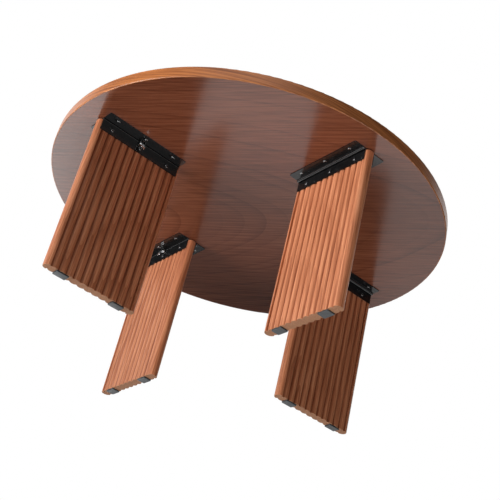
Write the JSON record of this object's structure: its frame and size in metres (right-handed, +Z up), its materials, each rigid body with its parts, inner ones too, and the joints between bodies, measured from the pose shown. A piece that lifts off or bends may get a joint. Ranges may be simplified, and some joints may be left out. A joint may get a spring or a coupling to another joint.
{
  "type": "chabudai folding low table",
  "caption": "Low round wood-grain table whose reeded plank legs fold flat under the top on black steel brackets with sprung locking levers.",
  "frame": {"origin": "on the floor under the middle of the disc, with the table standing on its open legs", "axes": "+Z up, +Y towards the back, +X to the right; the legs stand on the diagonals between X and Y"},
  "size_m": [0.7999, 0.8, 0.35],
  "materials": {
    "core_board": "bare particle board",
    "top_laminate": "semi-gloss wood-grain laminate",
    "underside_laminate": "semi-gloss wood-grain laminate",
    "edge_band": "satin wood-grain band",
    "leg_wood": "reddish brown lacquered wood grain",
    "bracket_black": "semi-gloss black coating",
    "screw_black": "black plated",
    "pin_steel": "plain drawn steel",
    "spring_steel": "spring wire",
    "lever_chrome": "bright nickel plated",
    "pad_rubber": "matte slate grey"
  },
  "bodies": {
    "tabletop": {"tabletop_core": "core_board", "top_laminate": "top_laminate", "bottom_laminate": "underside_laminate", "edge_band": "edge_band", "base_plate_back_right": "bracket_black", "hinge_pin_back_right": "pin_steel", "lever_pin_back_right": "pin_steel", "lock_spring_back_right": "spring_steel", "table_screws_back_right": "screw_black", "base_plate_back_left": "bracket_black", "hinge_pin_back_left": "pin_steel", "lever_pin_back_left": "pin_steel", "lock_spring_back_left": "spring_steel", "table_screws_back_left": "screw_black", "base_plate_front_left": "bracket_black", "hinge_pin_front_left": "pin_steel", "lever_pin_front_left": "pin_steel", "lock_spring_front_left": "spring_steel", "table_screws_front_left": "screw_black", "base_plate_front_right": "bracket_black", "hinge_pin_front_right": "pin_steel", "lever_pin_front_right": "pin_steel", "lock_spring_front_right": "spring_steel", "table_screws_front_right": "screw_black"},
    "leg_back_right": {"leg_board_back_right": "leg_wood", "leg_saddle_back_right": "bracket_black", "leg_screws_back_right": "screw_black", "foot_pads_back_right": "pad_rubber"},
    "lever_back_right": {"lock_lever_back_right": "lever_chrome"},
    "leg_back_left": {"leg_board_back_left": "leg_wood", "leg_saddle_back_left": "bracket_black", "leg_screws_back_left": "screw_black", "foot_pads_back_left": "pad_rubber"},
    "lever_back_left": {"lock_lever_back_left": "lever_chrome"},
    "leg_front_left": {"leg_board_front_left": "leg_wood", "leg_saddle_front_left": "bracket_black", "leg_screws_front_left": "screw_black", "foot_pads_front_left": "pad_rubber"},
    "lever_front_left": {"lock_lever_front_left": "lever_chrome"},
    "leg_front_right": {"leg_board_front_right": "leg_wood", "leg_saddle_front_right": "bracket_black", "leg_screws_front_right": "screw_black", "foot_pads_front_right": "pad_rubber"},
    "lever_front_right": {"lock_lever_front_right": "lever_chrome"}
  },
  "joints": [
    {"name": "fold_back_right", "type": "hinge", "parent": "tabletop", "child": "leg_back_right", "pos_m": [0.19788, 0.17759, 0.32365], "axis": [-0.7071, -0.7071, 0], "range_deg": [0, 90]},
    {"name": "lock_back_right", "type": "hinge", "parent": "tabletop", "child": "lever_back_right", "pos_m": [0.17741, 0.19806, 0.3224], "axis": [0.7071, 0.7071, 0], "range_deg": [0, 20], "stiffness_Nm_per_rad": 0.02, "springref_deg": -20.05},
    {"name": "fold_back_left", "type": "hinge", "parent": "tabletop", "child": "leg_back_left", "pos_m": [-0.17759, 0.19788, 0.32365], "axis": [0.7071, -0.7071, 0], "range_deg": [0, 90]},
    {"name": "lock_back_left", "type": "hinge", "parent": "tabletop", "child": "lever_back_left", "pos_m": [-0.19806, 0.17741, 0.3224], "axis": [-0.7071, 0.7071, 0], "range_deg": [0, 20], "stiffness_Nm_per_rad": 0.02, "springref_deg": -20.05},
    {"name": "fold_front_left", "type": "hinge", "parent": "tabletop", "child": "leg_front_left", "pos_m": [-0.19788, -0.17759, 0.32365], "axis": [0.7071, 0.7071, 0], "range_deg": [0, 90]},
    {"name": "lock_front_left", "type": "hinge", "parent": "tabletop", "child": "lever_front_left", "pos_m": [-0.17741, -0.19806, 0.3224], "axis": [-0.7071, -0.7071, 0], "range_deg": [0, 20], "stiffness_Nm_per_rad": 0.02, "springref_deg": -20.05},
    {"name": "fold_front_right", "type": "hinge", "parent": "tabletop", "child": "leg_front_right", "pos_m": [0.17759, -0.19788, 0.32365], "axis": [-0.7071, 0.7071, 0], "range_deg": [0, 90]},
    {"name": "lock_front_right", "type": "hinge", "parent": "tabletop", "child": "lever_front_right", "pos_m": [0.19806, -0.17741, 0.3224], "axis": [0.7071, -0.7071, 0], "range_deg": [0, 20], "stiffness_Nm_per_rad": 0.02, "springref_deg": -20.05}
  ]
}
